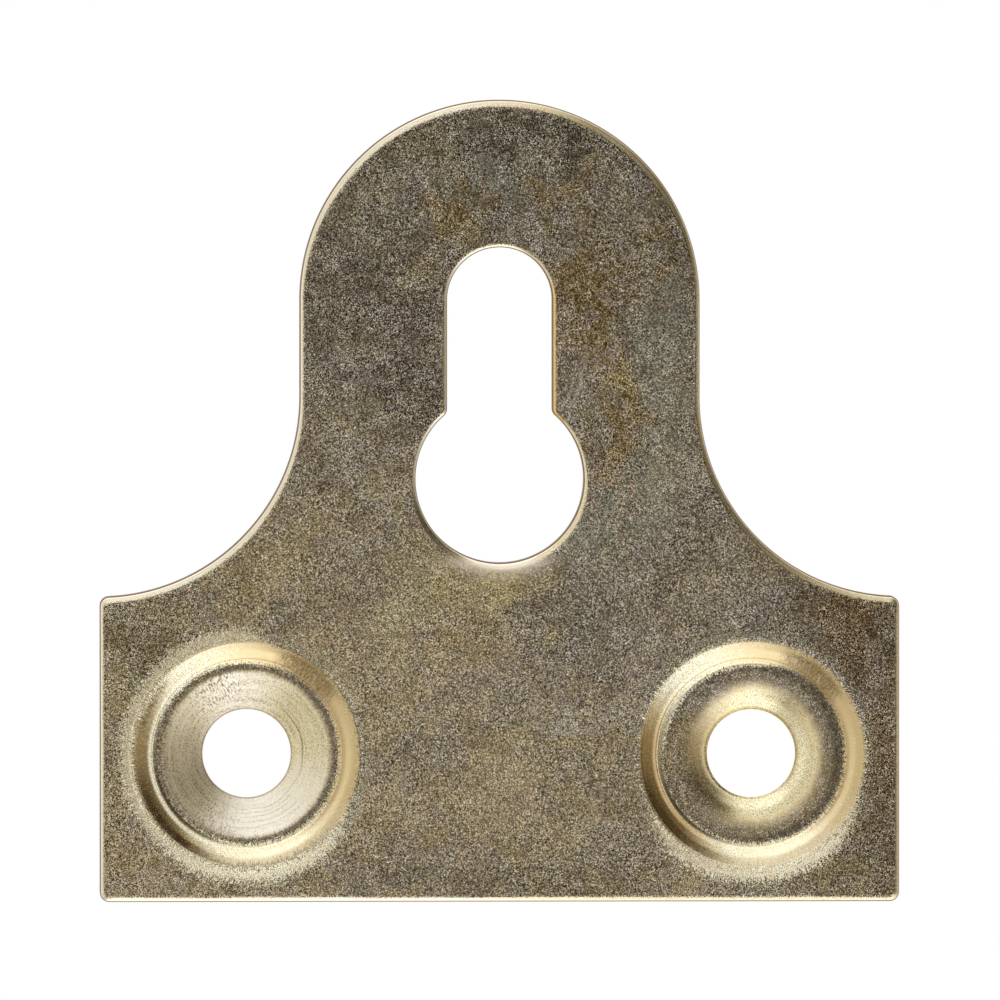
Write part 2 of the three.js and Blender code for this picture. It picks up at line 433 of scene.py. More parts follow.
def rounded_corner(before, corner, after, radius, steps):
    """An arc that rounds a corner of a profile."""
    before, corner, after = Vector(before), Vector(corner), Vector(after)
    to_before = (before - corner).normalized()
    to_after = (after - corner).normalized()
    half = to_before.angle(to_after) / 2
    centre = corner + (to_before + to_after).normalized() * radius / math.sin(half)
    first = corner + to_before * radius / math.tan(half) - centre
    last = corner + to_after * radius / math.tan(half) - centre
    start = math.atan2(first.y, first.x)
    turn = math.atan2(first.x * last.y - first.y * last.x, first.dot(last))
    angles = [start + turn * i / steps for i in range(steps + 1)]
    return [tuple(centre + Vector((math.cos(angle), math.sin(angle))) * radius) for angle in angles]


def cone_seat():
    """The cut countersink, down to the rounded edge of the hole."""
    depth = (SEAT_RADIUS - HOLE_RADIUS) * math.tan(CONE_SLOPE)
    mouth = (SEAT_RADIUS, DISH_FLOOR)
    foot = (HOLE_RADIUS, DISH_FLOOR + depth)
    edge = rounded_corner(mouth, foot, (HOLE_RADIUS, DISH_DEPTH), HOLE_EDGE_RADIUS, 4)
    return [mouth, *run(mouth, edge[0], 70), *edge]


def flare_seat():
    """The rounded throat, level at its mouth and steepening down to the hole."""
    radius = (FLARE_MOUTH - HOLE_RADIUS) / math.sin(FLARE_END_SLOPE)
    end = -90 - math.degrees(FLARE_END_SLOPE)
    return arc((FLARE_MOUTH, DISH_FLOOR + radius), radius, -90, end, 40)


def dished_hole(seat):
    """Profile of radii and depths, from the flat front through the hole to the flat back."""
    # The brim sags gently to a crease, and the lip turns on down from there to the wall.
    brim = arc((BRIM_RADIUS, FRONT + BRIM_BEND), BRIM_BEND, -90, -90 - BRIM_SLOPE, 14)
    mouth = brim[-1]
    brim.insert(-1, (mouth[0] + CREASE, mouth[1] - CREASE * math.tan(math.radians(BRIM_SLOPE))))
    tilt = math.radians(MOUTH_SLOPE)
    centre_x = mouth[0] + DISH_LIP_RADIUS * math.sin(tilt)
    centre = (centre_x, mouth[1] + DISH_LIP_RADIUS * math.cos(tilt))
    lip = arc(centre, DISH_LIP_RADIUS, -90 - MOUTH_SLOPE, -90 - math.degrees(DISH_SLOPE), 18)
    crease = (mouth[0] - CREASE, mouth[1] + CREASE * math.tan(tilt))
    floor = (DISH_FLOOR_EDGE, DISH_FLOOR)
    foot = rounded_corner(lip[-1], floor, seat[0], DISH_FOOT_RADIUS, 8)
    boss_edge = (BOSS_EDGE_RADIUS, DISH_DEPTH)
    boss_root = (BOSS_ROOT_RADIUS, 0)
    edge = rounded_corner((HOLE_RADIUS, DISH_DEPTH), boss_edge, boss_root, BOSS_EDGE_BEND, 12)
    root = rounded_corner(boss_edge, boss_root, (2 * BOSS_ROOT_RADIUS, 0), BOSS_ROOT_BEND, 8)
    hole = (HOLE_RADIUS, DISH_DEPTH)
    return [
        (BRIM_RADIUS + BORDER, FRONT), *brim, crease, *lip[1:], *run(lip[-1], foot[0], 4), *foot,
        *run(foot[-1], seat[0], 4), *seat, *run(seat[-1], hole, 4), hole,
        *run(hole, edge[0], 10), *edge, *run(edge[-1], root[0], 3), *root,
        (root[-1][0] + BORDER, 0),
    ]


def new_object(name, data):
    thing = bpy.data.objects.new(name, data)
    bpy.context.collection.objects.link(thing)
    return thing


def wire(name, loops, inward=None):
    """An object of bare edges: closed loops, or one open line."""
    points, edges = [], []
    for loop in loops:
        first = len(points)
        points += [(a, b, 0) for a, b in loop]
        edges += [(i, i + 1) for i in range(first, len(points) - 1)]
        edges.append((len(points) - 1, first))
    mesh = bpy.data.meshes.new(name)
    mesh.from_pydata(points, edges, [])
    if inward:
        layer = mesh.attributes.new("inward", "FLOAT_VECTOR", "POINT")
        layer.data.foreach_set("vector", [number for pair in inward for number in (*pair, 0)])
    return new_object(name, mesh)


# Geometry trees

def geometry_tree(name, *sizes):
    """A tree that takes a geometry, the named sizes and a material, with its inputs by name."""
    tree = bpy.data.node_groups.new(name, "GeometryNodeTree")
    kinds = {size: "Int" if "Steps" in size else "Float" for size in sizes}
    for item, kind in {"Geometry": "Geometry", **kinds, "Material": "Material"}.items():
        tree.interface.new_socket(item, in_out="INPUT", socket_type="NodeSocket" + kind)
    tree.interface.new_socket("Geometry", in_out="OUTPUT", socket_type="NodeSocketGeometry")
    make = NodeMaker(tree)
    return tree, make, make.named("NodeGroupInput")


def end_tree(make, given, geometry):
    """Every tree ends in plain geometry with the plate's material."""
    real = make.out("GeometryNodeRealizeInstances", {"Geometry": geometry})
    inputs = {"Geometry": real, "Material": given["Material"]}
    finished = make.out("GeometryNodeSetMaterial", inputs)
    make.add("NodeGroupOutput", {0: finished})


def grid_of(make, columns, rows):
    """A sheet of quads, with the number of each point's column and row."""
    inputs = {"Size X": 1, "Size Y": 1, "Vertices X": columns, "Vertices Y": rows}
    mesh = make.out("GeometryNodeMeshGrid", inputs)
    place = make.out("GeometryNodeInputPosition")
    x, y, _ = make.parts(place)
    numbers = []
    for part, count in ((x, columns), (y, rows)):
        gaps = count - 1
        numbers.append(make.math("ROUND", (part + 0.5) * gaps))
    return mesh, numbers[0], numbers[1]


def point_of(make, geometry, index, value=None):
    """The place of a numbered point of a geometry, or a value stored there."""
    value = value or make.out("GeometryNodeInputPosition")
    inputs = {"Geometry": geometry, "Value": value, "Index": index}
    node = make.add("GeometryNodeSampleIndex", data_type="FLOAT_VECTOR")
    for socket in node.inputs:
        if socket.enabled and socket.name in inputs:
            make.feed(socket, inputs[socket.name])
    return Value(make, next(socket for socket in node.outputs if socket.enabled))


def count_of(make, geometry):
    return make.out("GeometryNodeAttributeDomainSize", {"Geometry": geometry})


def placed(make, mesh, position):
    """The sheet with its points moved, and its meeting edges joined."""
    moved = make.out("GeometryNodeSetPosition", {"Geometry": mesh, "Position": position})
    inputs = {"Geometry": moved, "Distance": SAME_POINT}
    return make.out("GeometryNodeMergeByDistance", inputs)


def rolled_edge_tree():
    """Sweeps a rolled front edge and a sheared wall round a loop that carries inward vectors."""
    tree, make, given = geometry_tree(
        "rolled edge", "Roll Width", "Roll Depth", "Roll Lean", "Narrow Roll", "Unevenness",
        "Sheet", "Roll Steps", "Wall Steps")
    loop = given["Geometry"]
    points = count_of(make, loop)
    rows = given["Roll Steps"] + given["Wall Steps"] + 3
    sheet, column, row = grid_of(make, points + 1, rows)
    index = make.math("FLOORED_MODULO", column, points)
    inward = make.out(
        "GeometryNodeInputNamedAttribute", {"Name": "inward"}, data_type="FLOAT_VECTOR")
    edge = point_of(make, loop, index)
    direction = point_of(make, loop, index, inward)
    # The first two rows are the flat border, then the roll turns over, and the wall follows.
    turned = (row - 2) / given["Roll Steps"]
    inputs = {0: turned, 1: 0, 2: 1, 3: 0, 4: math.pi / 2}
    angle = make.out("ShaderNodeMapRange", inputs)
    wall_row = row - 2 - given["Roll Steps"]
    wall = wall_row.most(0) / given["Wall Steps"]
    patchy = make.noise(edge, ROLL_PATCHES, 1)
    uneven = (patchy - 0.7) * given["Unevenness"]
    # Edges that face up are rolled the widest, most of all over the crown, and the bottom edge is
    # rolled wider than the sides. The roll leans before it turns over.
    down = make.parts(direction)[1]
    facing = (down * -1).rise(-0.3, 0.9, given["Narrow Roll"], 1)
    width = given["Roll Width"] * (facing * (1 + uneven))
    height = make.parts(edge)[1]
    crown = height.rise(*CROWN, 1, CROWN_ROLL)
    bottom = height.rise(*BOTTOM, 1, BOTTOM_ROLL)
    width = width * (crown * bottom)
    width = make.math("MINIMUM", width, given["Roll Width"] + BORDER / 4)
    across = make.math("SINE", angle)
    border = row.below(0.5)
    level = row.below(1.5)
    full = given["Roll Width"] + BORDER
    rolled = width * (1 - across)
    rolled = rolled + level * (BORDER / 2)
    inset = make.mix(border, rolled, full)
    leaning = across * given["Roll Lean"]
    turning = make.math("POWER", across, 8) * (1 - given["Roll Lean"])
    fall = given["Roll Depth"] * (leaning + turning)
    rest = given["Sheet"] - given["Roll Depth"]
    depth = fall + wall * rest
    out = make.vector("ADD", edge, make.scaled(direction, inset))
    x, z, _ = make.parts(out)
    position = make.joined(x, depth - given["Sheet"], z)
    cut = inset.rise(0.6 * SHEARED_STRIP, 1.4 * SHEARED_STRIP, 1, 0)
    for name, value in (("sheared", cut), ("rubbed", across.most(level))):
        inputs = {"Geometry": sheet, "Name": name, "Value": value}
        sheet = make.out("GeometryNodeStoreNamedAttribute", inputs)
    end_tree(make, given, placed(make, sheet, position))
    return tree


def dished_hole_tree():
    """Turns a profile about a screw hole's axis, with the tool's rings and chatter on its seat."""
    tree, make, given = geometry_tree(
        "dished hole", "Hole X", "Steps Round", "Seat Radius", "Hole Radius", "Ring Depth",
        "Ring Pitch", "Chatter Depth", "Seed")
    profile = given["Geometry"]
    steps = given["Steps Round"]
    sheet, column, row = grid_of(make, count_of(make, profile), steps + 1)
    spot = point_of(make, profile, column)
    radius, depth, _ = make.parts(spot)
    share = make.math("FLOORED_MODULO", row, steps) / steps
    angle = share * FULL_TURN
    across, up = make.math("COSINE", angle), make.math("SINE", angle)
    # The marks fade out at the seat's two edges, and keep to the front of the plate.
    entry = radius.rise(given["Hole Radius"], given["Hole Radius"] + MARKS_START)
    leave = radius.rise(given["Seat Radius"] - MARKS_END, given["Seat Radius"], 1, 0)
    inside = depth.below(MARKS_DEEPEST) * (entry * leave)
    turns = radius / given["Ring Pitch"]
    ring_place = make.joined(turns, across * RING_WANDER, given["Seed"])
    rings = make.noise(ring_place, 1, 2) - 0.5
    flute_place = make.joined(across * FLUTES, up * FLUTES, given["Seed"])
    flutes = make.noise(flute_place, 1, 1) - 0.5
    marks = rings * given["Ring Depth"] + flutes * given["Chatter Depth"]
    cut = depth + marks * inside
    x = given["Hole X"] + radius * across
    position = make.joined(x, cut, radius * up)
    end_tree(make, given, placed(make, sheet, position))
    return tree


def flat_face_tree():
    """Fills the flat between an outline and the openings in it."""
    tree, make, given = geometry_tree("flat face", "Depth")
    curves = make.out("GeometryNodeMeshToCurve", {"Mesh": given["Geometry"]})
    filled = make.out("GeometryNodeFillCurve", {"Curve": curves}, mode="TRIANGLES")
    place = make.out("GeometryNodeInputPosition")
    x, z, _ = make.parts(place)
    inputs = {"Geometry": filled, "Position": make.joined(x, given["Depth"], z)}
    end_tree(make, given, make.out("GeometryNodeSetPosition", inputs))
    return tree


def shaped(shape, tree, sizes):
    """The plain mesh that a tree makes of an object with the given sizes."""
    modifier = shape.modifiers.new(tree.name, "NODES")
    modifier.node_group = tree
    for item in tree.interface.items_tree:
        if item.in_out == "INPUT" and item.name in sizes:
            modifier[item.identifier] = sizes[item.name]
    bpy.context.view_layer.update()
    evaluated = shape.evaluated_get(bpy.context.evaluated_depsgraph_get())
    mesh = bpy.data.meshes.new_from_object(evaluated)
    bpy.data.objects.remove(shape)
    return mesh


# The plate

def edged(name, loop, tree, material):
    """The rolled edge and wall along the outline or the keyhole."""
    reach = ROLL_WIDTH + BORDER
    inward = [
        ((b[0] - a[0]) / reach, (b[1] - a[1]) / reach) for a, b in zip(loop(0), loop(reach))
    ]
    return shaped(wire(name, [loop(0)], inward), tree, {
        "Roll Width": ROLL_WIDTH, "Roll Depth": ROLL_DEPTH, "Roll Lean": ROLL_LEAN,
        "Narrow Roll": NARROW_ROLL, "Unevenness": ROLL_UNEVENNESS, "Sheet": SHEET,
        "Roll Steps": ROLL_STEPS, "Wall Steps": WALL_STEPS, "Material": material,
    })


def make_plate(material):
    edge_tree, hole_tree, face_tree = rolled_edge_tree(), dished_hole_tree(), flat_face_tree()
    meshes = [
        edged("outline", outline, edge_tree, material),
        edged("keyhole", keyhole, edge_tree, material),
    ]
    seats = (
        (-HOLE_X, cone_seat(), SEAT_RADIUS, *CONE_MARKS),
        (HOLE_X, flare_seat(), FLARE_MOUTH, *FLARE_MARKS),
    )
    for hole_x, seat, seat_radius, ring_depth, chatter_depth, seed in seats:
        profile = dished_hole(seat)
        meshes.append(shaped(wire("hole profile", [profile]), hole_tree, {
            "Hole X": hole_x, "Steps Round": TURN_STEPS, "Seat Radius": seat_radius,
            "Hole Radius": HOLE_RADIUS, "Ring Depth": ring_depth, "Ring Pitch": RING_PITCH,
            "Chatter Depth": chatter_depth, "Seed": seed, "Material": material,
        }))
    reach = ROLL_WIDTH + BORDER
    front_ring, back_ring = profile[0][0], profile[-1][0]
    for depth, inset, ring in ((FRONT, reach, front_ring), (0, 0, back_ring)):
        loops = [outline(inset), keyhole(inset), circle(ring, -HOLE_X), circle(ring, HOLE_X)]
        sizes = {"Depth": depth, "Material": material}
        meshes.append(shaped(wire("flat", loops), face_tree, sizes))
    return joined_shell("plate", meshes, material)


def joined_shell(name, meshes, material):
    """One closed shell from meshes whose borders meet."""
    points, faces = [], []
    marks = {"sheared": [], "rubbed": []}
    for mesh in meshes:
        first = len(points)
        points += [vertex.co.copy() for vertex in mesh.vertices]
        faces += [[first + index for index in face.vertices] for face in mesh.polygons]
        for mark, plain in (("sheared", 0), ("rubbed", 1)):
            layer = mesh.attributes.get(mark)
            values = [spot.value for spot in layer.data] if layer else [plain] * len(mesh.vertices)
            marks[mark] += [values[index] for face in mesh.polygons for index in face.vertices]
    shell = bpy.data.meshes.new(name)
    shell.from_pydata(points, [], faces)
    for mark, values in marks.items():
        shell.attributes.new(mark, "FLOAT", "CORNER").data.foreach_set("value", values)
    work = bmesh.new()
    work.from_mesh(shell)
    bmesh.ops.remove_doubles(work, verts=work.verts, dist=SAME_POINT)
    bmesh.ops.recalc_face_normals(work, faces=work.faces)
    work.to_mesh(shell)
    work.free()
    shell.polygons.foreach_set("use_smooth", [True] * len(shell.polygons))
    shell.set_sharp_from_angle(angle=SHARP_ANGLE)
    shell.materials.append(material)
    return new_object(name, shell)


# Materials
#
# A finish is placed in millimetres, and round a screw hole in degrees clockwise from the top. A
# rise is given by where it sets in and is full, and a band by its two edges and softness.

# Tints, as seen on a screen
WARM_FILM = ((0.38, (140, 129, 112)), (0.5, (145, 132, 107)), (0.62, (150, 135, 103)))
COOL_FILM = ((0.36, (138, 127, 116)), (0.5, (139, 128, 111)), (0.64, (143, 130, 104)))
BURNISH = ((0.36, (243, 221, 180)), (0.5, (250, 234, 197)), (0.64, (254, 243, 214)))
TURNED = (
    (0.1, (140, 126, 100)), (0.32, (220, 206, 178)), (0.46, (248, 237, 214)),
    (0.7, (255, 251, 241)),
)
GLINT = (214, 208, 196)
SCRATCH = (206, 198, 180)
GOLD = (216, 192, 140)
DARK_FLECKS = (128, 107, 75)
RED_REFLECTION = (140, 40, 22)
BROWN_WALL_SHADE = (194, 164, 110)
DARK_CREASE_SHADE = (84, 68, 46)
ROLL_HIGHLIGHT = (255, 246, 224)
GOLD_ROLL = (236, 196, 108)
CONE_SHEEN = (255, 250, 238)
HOLE_RIM = (150, 116, 76)
HEAD_HOLE_HIGHLIGHT = (255, 242, 226)
DISH_FLOOR_SHADE = (52, 44, 34)
SHEARED_WALL = (126, 103, 84)

# Casts, which a colour is multiplied by
YELLOW_CAST = (1, 0.96, 0.84, 1)
GREEN_CAST = (0.98, 0.965, 0.74, 1)
GREY_CAST = (0.87, 0.85, 0.76, 1)

# Grain and film
BACK_FACING = 0.3
FINE_GRAIN = 23
FINE_CONTRAST = 11.2
MIDDLING_GRAIN = 6
MIDDLING_CONTRAST = 1.5
PATCHES_MOVE = (40, 0, 9)
DRIFT_REACH = 8
STREAK_SIZES = (0.75, 1, 1.6)
STREAK_TURN = -35
BROAD_MOVE = (7, 0, 53)
MOTLEY_SHARE = (0.7, 0.7, 0.7)
MOTLEY_REST = (0.65, 0.65, 0.65)
SCRATCH_REACH = 0.9
THROUGH = 1000

# Relief
HIGHLIGHT_TILT = (0, 0, 0.22)
BUMP_HEIGHT = 0.01 * MM

# Places on the flats
COOL_FROM = (2, 12)
ARCH_RIM = (7.8, 9.2)
TONGUE_TOP = (17, 21)
UPWARDS = (-7, 28)
ACROSS = (-19, 19)
RIGHT_END = (8, 18)
LEFT_END = (-14.5, -17.5)
FOOT_STRIP = (-4, -6.4)
BETWEEN_DISHES = (8.5, 6)
HIGHLIGHT_FROM_CENTRE = (4.5, 4.3)
HIGHLIGHT_BELOW_CENTRE = (3.5, 4.05)
ROLL_SOFTENS = (2, 6)
HIGHLIGHT_LEFTWARD = (3, -3)
SLOT_SIDE = (2.3, 3.1, 0.1)
SLOT_LENGTH = (15, 22.5, 1)

# Radii from a screw hole's axis
HALO = 5.43
HALO_FRAYS = (5.45, 5.8)
HALO_SOFTENS = (5.3, 5.9)
PAST_THE_LIP = (5.3, 5.45)
HALO_GRAIN = (6.8, 6.4)
WALL = (4.4, 5.35, 0.05)
WALL_GRAIN = (4.2, 4)
FLOOR_INNER = (3.91, 4.01)
FLOOR_OUTER = (4.34, 4.24)
SUNK_INNER = (3.92, 4.04)
SUNK_OUTER = (4.32, 4.2)
THROAT = (2.55, 4)
THROAT_OUTER = (4.4, 4.18)
THROAT_YELLOWS = (4, 3.4)
DARK_FLECKS_BAND = (4.5, 5.25, 0.12)
RED_REFLECTION_BAND = (5, 5.3, 0.06)
WALL_SHADE_TO = (5.43, 5.23)
CREASE_SHADE_BAND = (5.24, 5.42, 0.05)
LEFT_RIM = (5.03, 5.27, 0.05)
RIGHT_RIM = (5.23, 5.3, 0.03)
SOFT_WALL = (5.04, 5.4, 0.06)
DRAWN_HAIRS = (5.36, 5.62, 0.08)
CONE = (1.9, 3.98, 0.03)
CONE_RATTLES = (2.5, 2.9)
CONE_GREYS = (2.3, 2.9)
CONE_ENDS = (2.2, 2.14)
GROOVE_WIDTH = (0.04, 0.015)
GROOVE_WAVER = 0.25


def new_material(name, maker=NodeMaker):
    material = bpy.data.materials.new(name)
    material.use_nodes = True
    material.node_tree.nodes.clear()
    return material, maker(material.node_tree)


class Skin(NodeMaker):
    """Where a spot is, the way it faces, and how far and which way the nearer screw hole lies."""

    def __init__(self, tree):
        super().__init__(tree)
        self.place = self.scaled(self.out("ShaderNodeTexCoord", output="Object"), 1 / MM)
        self.normal = self.out("ShaderNodeNewGeometry", output="Normal")
        _, backward, _ = self.parts(self.normal)
        self.front = backward.below(BACK_FACING)
        level = abs(backward)
        self.lean = self.math("SQRT", 1 - level * level)
        self.x, _, self.z = self.parts(self.place)
        off = self.x - self.math("SIGN", self.x) * (HOLE_X / MM)
        self.spoke = self.joined(off, self.z, 0)
        self.radius = self.length(self.spoke)
        self.east, self.north, _ = self.parts(self.unit(self.spoke))
        self.left = self.x.below(0)

    def round_noise(self, rays, per_mm, detail=2, roughness=0.5):
        """Noise with so many rays round the hole and turns to the millimetre outwards."""
        place = self.joined(self.east * rays, self.north * rays, self.radius * per_mm)
        return self.noise(place, 1, detail, roughness)

    def towards(self, clock):
        """One in that direction from the hole, and less the further round."""
        angle = math.radians(clock)
        return self.east * math.sin(angle) + self.north * math.cos(angle)

    def by_dish(self, right, left):
        return self.mix(self.left, right, left)

    def tinted(self, share, colour, tint):
        return self.blend(share, colour, linear(*tint))

    def cast(self, colour, cast):
        return self.blend(1, colour, cast, "MULTIPLY")

    def shaded(self, colour, level):
        return self.cast(colour, self.joined(level, level, level))

    def tint_ramp(self, factor, stops):
        return self.ramp(factor, [(position, linear(*tint)) for position, tint in stops])


def grain(make):
    """A salt-and-pepper etch, as a power of the brightness."""
    make.fine = make.noise(make.place, FINE_GRAIN, 1, 0.6, 0.8)
    middling = make.noise(make.place, MIDDLING_GRAIN, 1, 0.5)
    speck = (make.fine - 0.5) * FINE_CONTRAST + (middling - 0.5) * MIDDLING_CONTRAST
    patchy = make.noise(make.vector("ADD", make.place, PATCHES_MOVE), 1.1, 3, 0.6)
    return speck * patchy.rise(0.36, 0.64, 0.76, 1.24)


def stained_flats(make, speck):
    """Flats, warm in the foot's left half and cool up the tongue, with wispy stains."""
    drift = make.noise(make.place, 0.5, 5, 0.62, output="Color")
    swept = make.shaken(make.place, drift, DRIFT_REACH)
    swept_x, _, swept_z = make.parts(swept)
    cool = (swept_z + swept_x * 0.6).rise(*COOL_FROM)
    streaks = make.framed(swept, (0, 0, 0), STREAK_SIZES, STREAK_TURN)
    wisp = make.noise(streaks, 0.8, 5, 0.6, 1.2)
    cloud = make.noise(swept, 0.4, 4, 0.6)
    film = make.blend(cool, make.tint_ramp(cloud, WARM_FILM), make.tint_ramp(cloud, COOL_FILM))
    torn = (wisp - 0.5) * 3.2
    for across, up, wide, high, turn, tint, strength in STAINS:
        away = make.length(make.framed(swept, (across, 0, up), (wide, THROUGH, high), turn))
        film = make.tinted((away + torn).rise(1.6, 0.4, 0, strength), film, tint)
    # The paler the film, the weaker the grain under it
    pale = make.out("ShaderNodeSeparateColor", {0: film}, 1)
    speck = speck * pale.rise(0.18, 0.34, 1.1, 0.72)
    etch = make.math("EXPONENT", speck)
    tone = flat_shade_and_tone(make, swept, wisp)
    flats = make.shaded(film, tone * etch)
    motley = make.noise(make.place, 19, 1, output="Color")
    motley = make.vector("ADD", make.vector("MULTIPLY", motley, MOTLEY_SHARE), MOTLEY_REST)
    flats = make.cast(flats, motley)
    # Painted glints on the brightest specks, dimmed by the painted shade
    return make.tinted(speck.rise(0.6, 2.2, 0, 0.8) * tone, flats, GLINT)


def flat_shade_and_tone(make, swept, wisp):
    """How light the flats are: painted shade, least light up the tongue, at the right and at the
    far left, a painted shadow inside the arch's edge, darker between the dishes, and random tone.
    """
    x, z = make.x, make.z
    from_arch = make.length(make.joined(x, 0, (z - ARCH_CENTRE[1] / MM).most(0)))
    # Painted shadow just inside the arch's edge
    edge_shade = from_arch.rise(*ARCH_RIM, 0, 0.16) * z.rise(*TONGUE_TOP)
    # Painted shade: darker up the tongue, towards the right and at the far left, and darker between
    # the dishes
    tone = z.rise(*UPWARDS, 1.03, 0.57) * x.rise(*ACROSS, 1.06, 0.88)
    tone = tone * x.rise(*RIGHT_END, 1, 0.69) * x.rise(*LEFT_END, 1, 0.9)
    between = z.rise(*FOOT_STRIP) * abs(x).rise(*BETWEEN_DISHES)
    tone = tone * (1 - between * 0.26) * wisp.rise(0.3, 0.7, 0.76, 1.22)
    broad = make.noise(make.vector("ADD", swept, BROAD_MOVE), 0.28, 3, 0.55)
    return tone * broad.rise(0.36, 0.64, 0.86, 1.14) * (1 - edge_shade)


def scratches(make, flats):
    """Rubs and scratches on the front."""
    waver = make.noise(make.place, 1.2, 3, output="Color")
    shaken = make.shaken(make.place, waver, SCRATCH_REACH)
    marked = flats
    for across, up, turn, length, width, strength in MARKS:
        away = make.length(make.framed(shaken, (across, 0, up), (width, THROUGH, length), turn))
        share = (away + (make.fine - 0.5) * 3).rise(1.3, 0.3, 0, strength)
        marked = make.tinted(share, marked, SCRATCH)
    return make.blend(make.front, flats, marked)


def bends(make):
    """Where the press tools burnished the bends. Round the dishes the burnish runs out over the
    brim, furthest below them and at the left of the left one, and frays into drawn hairs."""
    radius, left, towards = make.radius, make.left, make.towards
    fibre = make.fibre = make.fine - 0.5
    hair = make.hair = make.round_noise(110, 3.4, 1) - 0.5
    downward = towards(178).rise(0.35, 0.85, 0, 0.66)
    leftward = left * towards(284).rise(-0.1, 0.35, 0, 0.56)
    halo = HALO - left * towards(70).rise(0.2, 0.8, 0, 0.2) + downward.most(leftward)
    strokes = (hair * 1.1 + fibre * 1.4) * radius.rise(*HALO_FRAYS, 0.5, 1)
    within = halo - radius + strokes
    soft = radius.rise(*HALO_SOFTENS, 0.03, 0.22)
    drawn = (within / soft).rise(-1, 1, 0, 0.92) * make.front
    drawn = drawn * (1 - radius.rise(*PAST_THE_LIP, 0, 1.1) * (0.14 + abs(fibre)))
    rubbed = make.rubbed = make.mark("rubbed")
    rolled = rubbed.rise(0.99, 0.95, 0, 0.12)
    bent = make.lean + rolled + fibre * 0.85
    bend = bent.rise(0.16, 0.26).most(drawn)
    return bend * (rubbed + fibre).rise(0.1, 0.35)


def etched_floors(make):
    """The dishes' level floors keep the etch, and so does the right throat where it is shallow."""
    radius, towards = make.radius, make.towards
    make.frayed = radius + (make.fibre * 0.95 + make.hair * 0.7)
    widened = make.by_dish(
        towards(322).rise(0.45, 0.9, 0, -0.12), towards(285).rise(0.1, 0.8, 0, 0.11))
    rightward = make.by_dish(0.15, 0.07)
    make.widened = widened + rightward * towards(82).rise(0.1, 0.75)
    outward = make.frayed - make.widened
    floor = make.frayed.rise(*FLOOR_INNER) * outward.rise(*FLOOR_OUTER)
    throat = radius.rise(*THROAT) + towards(286).rise(0.2, 0.9, -0.06, 0.32)
    throat = throat * outward.rise(*THROAT_OUTER)
    etched = (make.by_dish(throat, floor) + make.fibre * 2.6).rise(0.35, 0.65)
    return etched * make.front


def burnish(make):
    """Cream-gold burnish. It is grained too, least on the right of the dishes' walls."""
    radius = make.radius
    skin = make.round_noise(26, 2.5, 3, 0.65) * 0.5
    skin = skin + make.noise(make.place, 7, 3, 0.7) * 0.5
    shine = make.tint_ramp(skin, BURNISH)
    grainy = make.towards(262).rise(-0.1, 0.7, 0.3, 1).most(radius.rise(*PAST_THE_LIP))
    grainy = grainy.most(radius.rise(*WALL_GRAIN)) * radius.rise(*HALO_GRAIN, 0.15, 1)
    lustre = make.math("EXPONENT", make.fibre.most(-0.2) * grainy * 4.5)
    return make.shaded(shine, lustre)


def marked_walls(make, shine):
    """A darker, speckled patch on the upper right of each dish's wall, a painted dark red
    reflection at the lower left of the left one, painted brown shade on the left of the walls, more
    so in the right dish, painted dark shade in the crease, most below the left one, and a yellower
    right throat."""
    radius, left, frayed, towards = make.radius, make.left, make.frayed, make.towards
    wall = radius.band(*WALL)
    # A darker, speckled patch on the upper right of each wall
    dark_patch = towards(37).rise(0.9, 0.985) * frayed.band(*DARK_FLECKS_BAND)
    flecks = (make.fibre + make.hair * 0.6) * 5
    spots = (dark_patch + dark_patch * flecks).rise(0.1, 1.3)
    golden = towards(62).rise(0, 0.75, 0, 0.85) * wall
    shine = make.tinted(golden, shine, GOLD)
    shine = make.tinted(spots * 0.95, shine, DARK_FLECKS)
    # Painted dark red reflection, from light bouncing between the brass walls, at the lower left of
    # the left dish
    red_reflection = towards(217).rise(0.995, 0.999) * radius.band(*RED_REFLECTION_BAND)
    shine = make.tinted(red_reflection * left * 0.8, shine, RED_REFLECTION)
    # Painted brown shade on the left of the walls, more in the right dish
    wall_shade_from = make.by_dish(4.5, 4.75)
    wall_shade = (radius - wall_shade_from).rise(-0.1, 0.1) * radius.rise(*WALL_SHADE_TO)
    wall_shade = towards(250).rise(0.5, 0.95) * wall_shade
    shine = make.tinted(wall_shade * make.by_dish(0.85, 0.6), shine, BROWN_WALL_SHADE)
    # Painted dark shade in the crease, most below the left dish
    crease_shade = frayed.band(*CREASE_SHADE_BAND) * towards(172).rise(0.6, 0.9, 0.1, 0.8)
    crease_shade = crease_shade * left.rise(0, 1, 0.35, 1)
    # Painted dark shade lines along each dish's rim
    left_rim = frayed.band(*LEFT_RIM) * towards(298).rise(0.94, 0.99, 0, 0.8)
    right_rim = radius.band(*RIGHT_RIM) * towards(250).rise(0.75, 0.95, 0, 0.5)
    crease_shade = crease_shade.most(make.by_dish(right_rim, left_rim))
    shine = make.tinted(crease_shade, shine, DARK_CREASE_SHADE)
    throat = radius.rise(*THROAT_YELLOWS) * (1 - left)
    return make.blend(throat, shine, make.cast(shine, YELLOW_CAST))


def rolled_edges(make, shine):
    """The rolled edges get a paler painted highlight at the left, and are gold along the right side
    of the slot.
    """
    make.on_roll = make.rubbed.rise(0.999, 0.98)
    # Painted highlight on the left rolls
    pale = make.on_roll * make.x.rise(*HIGHLIGHT_LEFTWARD, 0, 0.8)
    shine = make.tinted(pale, shine, ROLL_HIGHLIGHT)
    golden = make.on_roll * make.x.band(*SLOT_SIDE) * make.z.band(*SLOT_LENGTH)
    return make.tinted(golden * 0.75, shine, GOLD_ROLL)


